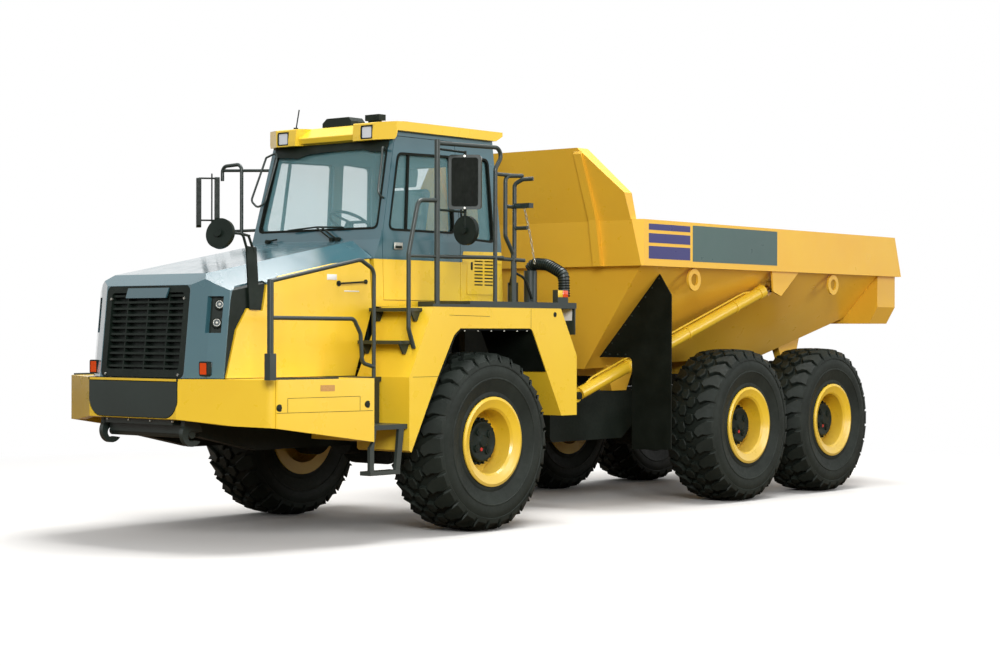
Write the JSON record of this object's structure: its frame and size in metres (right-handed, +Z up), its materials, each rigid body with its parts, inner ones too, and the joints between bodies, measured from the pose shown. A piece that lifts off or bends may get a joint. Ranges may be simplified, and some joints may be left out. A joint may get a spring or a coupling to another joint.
{
  "type": "articulated dump truck",
  "caption": "Three-axle articulated dump truck with a tipping body, a hollow cab, a centre hitch, hoist and steering cylinders and guard rails.",
  "frame": {"origin": "on the ground under the middle of the truck's length and width", "axes": "+X forward, +Y to the truck's left, +Z up"},
  "size_m": [10.26, 2.992, 3.8098],
  "materials": {
    "yellow_paint": "satin",
    "slate_paint": "satin",
    "dark_paint": "matte",
    "body_paint": "satin",
    "black_plastic": "matte",
    "tyre": "matte",
    "wheel_paint": "satin",
    "tinted_glass": "gloss",
    "lamp_glass": "gloss",
    "rubber_sheet": "matte",
    "seat_fabric": "matte",
    "rod_chrome": "polished",
    "engine_iron": "matte"
  },
  "bodies": {
    "front_frame": {"front_chassis": "dark_paint", "front_axle": "dark_paint", "engine_block": "engine_iron", "front_bumper": "yellow_paint", "side_boxes": "yellow_paint", "tow_beam": "dark_paint", "fenders": "yellow_paint", "access_steps": "dark_paint", "walkway": "dark_paint", "engine_hood": "slate_paint", "side_covers": "yellow_paint", "grille": "black_plastic", "front_lamps": "lamp_glass", "cab_base": "yellow_paint", "cab_frame": "slate_paint", "cab_glass": "tinted_glass", "cab_roof": "yellow_paint", "driver_seat": "seat_fabric", "steering_console": "black_plastic", "handrails": "dark_paint", "mirrors": "black_plastic", "deck_gear": "dark_paint", "nose_trim": "black_plastic", "roof_lamps": "lamp_glass", "roof_gear": "black_plastic"},
    "hitch": {"hitch": "dark_paint"},
    "rear_frame": {"rear_chassis": "dark_paint", "bogie": "dark_paint"},
    "dump_body": {"dump_body": "body_paint", "mud_flaps": "rubber_sheet"},
    "cab_door": {"cab_door": "slate_paint", "door_panel": "yellow_paint", "door_glass": "tinted_glass"},
    "hoist_barrel_left": {"hoist_barrel_left": "yellow_paint"},
    "hoist_rod_left": {"hoist_rod_left": "rod_chrome"},
    "steer_barrel_left": {"steer_barrel_left": "dark_paint"},
    "steer_rod_left": {"steer_rod_left": "rod_chrome"},
    "wheel_front_left": {"wheel_front_left": "wheel_paint", "tyre_front_left": "tyre"},
    "wheel_middle_left": {"wheel_middle_left": "wheel_paint", "tyre_middle_left": "tyre"},
    "wheel_rear_left": {"wheel_rear_left": "wheel_paint", "tyre_rear_left": "tyre"},
    "hoist_barrel_right": {"hoist_barrel_right": "yellow_paint"},
    "hoist_rod_right": {"hoist_rod_right": "rod_chrome"},
    "steer_barrel_right": {"steer_barrel_right": "dark_paint"},
    "steer_rod_right": {"steer_rod_right": "rod_chrome"},
    "wheel_front_right": {"wheel_front_right": "wheel_paint", "tyre_front_right": "tyre"},
    "wheel_middle_right": {"wheel_middle_right": "wheel_paint", "tyre_middle_right": "tyre"},
    "wheel_rear_right": {"wheel_rear_right": "wheel_paint", "tyre_rear_right": "tyre"}
  },
  "joints": [
    {"name": "articulation", "type": "hinge", "parent": "front_frame", "child": "hitch", "pos_m": [0.72, 0, 0.93], "axis": [0, 0, 1], "range_deg": [-45, 45]},
    {"name": "oscillation", "type": "hinge", "parent": "hitch", "child": "rear_frame", "pos_m": [0.22, 0, 0.93], "axis": [-1, 0, 0], "range_deg": [-15, 15]},
    {"name": "body_tip", "type": "hinge", "parent": "rear_frame", "child": "dump_body", "pos_m": [-4.08, 0, 1.33], "axis": [0, -1, 0], "range_deg": [0, 70]},
    {"name": "door_hinge", "type": "hinge", "parent": "front_frame", "child": "cab_door", "pos_m": [1.98, 0.806, 2.6], "axis": [0, 0, 1], "range_deg": [0, 28]},
    {"name": "hoist_swing_left", "type": "hinge", "parent": "rear_frame", "child": "hoist_barrel_left", "pos_m": [0.17, 0.75, 1.13], "axis": [0.4154, 0.1989, 0.8876], "range_deg": [0, 4.84]},
    {"name": "hoist_stroke_left", "type": "slide", "parent": "hoist_barrel_left", "child": "hoist_rod_left", "axis": [-0.9042, 0.1971, 0.379], "range_m": [0, 2.0793]},
    {"name": "hoist_swing_right", "type": "hinge", "parent": "rear_frame", "child": "hoist_barrel_right", "pos_m": [0.17, -0.75, 1.13], "axis": [-0.4154, 0.1989, -0.8876], "range_deg": [0, 4.84]},
    {"name": "hoist_stroke_right", "type": "slide", "parent": "hoist_barrel_right", "child": "hoist_rod_right", "axis": [-0.9042, -0.1971, 0.379], "range_m": [0, 2.0793]},
    {"name": "steer_swing_left", "type": "hinge", "parent": "front_frame", "child": "steer_barrel_left", "pos_m": [1.57, 0.4, 0.93], "axis": [0, 0, 1], "range_deg": [-1.4, 1.4]},
    {"name": "steer_stroke_left", "type": "slide", "parent": "steer_barrel_left", "child": "steer_rod_left", "axis": [-0.9883, -0.1525, 0], "range_m": [-0.2, 0.2]},
    {"name": "steer_swing_right", "type": "hinge", "parent": "front_frame", "child": "steer_barrel_right", "pos_m": [1.57, -0.4, 0.93], "axis": [0, 0, 1], "range_deg": [-1.4, 1.4]},
    {"name": "steer_stroke_right", "type": "slide", "parent": "steer_barrel_right", "child": "steer_rod_right", "axis": [-0.9883, 0.1525, 0], "range_m": [-0.2, 0.2]},
    {"name": "wheel_spin_front_left", "type": "hinge", "parent": "front_frame", "child": "wheel_front_left", "pos_m": [2.27, 1.18, 0.79], "axis": [0, 1, 0], "continuous": true},
    {"name": "wheel_spin_front_right", "type": "hinge", "parent": "front_frame", "child": "wheel_front_right", "pos_m": [2.27, -1.18, 0.79], "axis": [0, 1, 0], "continuous": true},
    {"name": "wheel_spin_middle_left", "type": "hinge", "parent": "rear_frame", "child": "wheel_middle_left", "pos_m": [-1.88, 1.18, 0.79], "axis": [0, 1, 0], "continuous": true},
    {"name": "wheel_spin_middle_right", "type": "hinge", "parent": "rear_frame", "child": "wheel_middle_right", "pos_m": [-1.88, -1.18, 0.79], "axis": [0, 1, 0], "continuous": true},
    {"name": "wheel_spin_rear_left", "type": "hinge", "parent": "rear_frame", "child": "wheel_rear_left", "pos_m": [-3.58, 1.18, 0.79], "axis": [0, 1, 0], "continuous": true},
    {"name": "wheel_spin_rear_right", "type": "hinge", "parent": "rear_frame", "child": "wheel_rear_right", "pos_m": [-3.58, -1.18, 0.79], "axis": [0, 1, 0], "continuous": true}
  ],
  "couplings": [
    {"joint": "hoist_swing_left", "follows": "body_tip", "ratio": 0.069089},
    {"joint": "hoist_stroke_left", "follows": "body_tip", "m_per_rad": 1.7019},
    {"joint": "hoist_swing_right", "follows": "body_tip", "ratio": 0.069089},
    {"joint": "hoist_stroke_right", "follows": "body_tip", "m_per_rad": 1.7019},
    {"joint": "steer_swing_left", "follows": "articulation", "ratio": 0.027858},
    {"joint": "steer_stroke_left", "follows": "articulation", "m_per_rad": 0.24211},
    {"joint": "steer_swing_right", "follows": "articulation", "ratio": 0.027858},
    {"joint": "steer_stroke_right", "follows": "articulation", "m_per_rad": -0.24211}
  ]
}
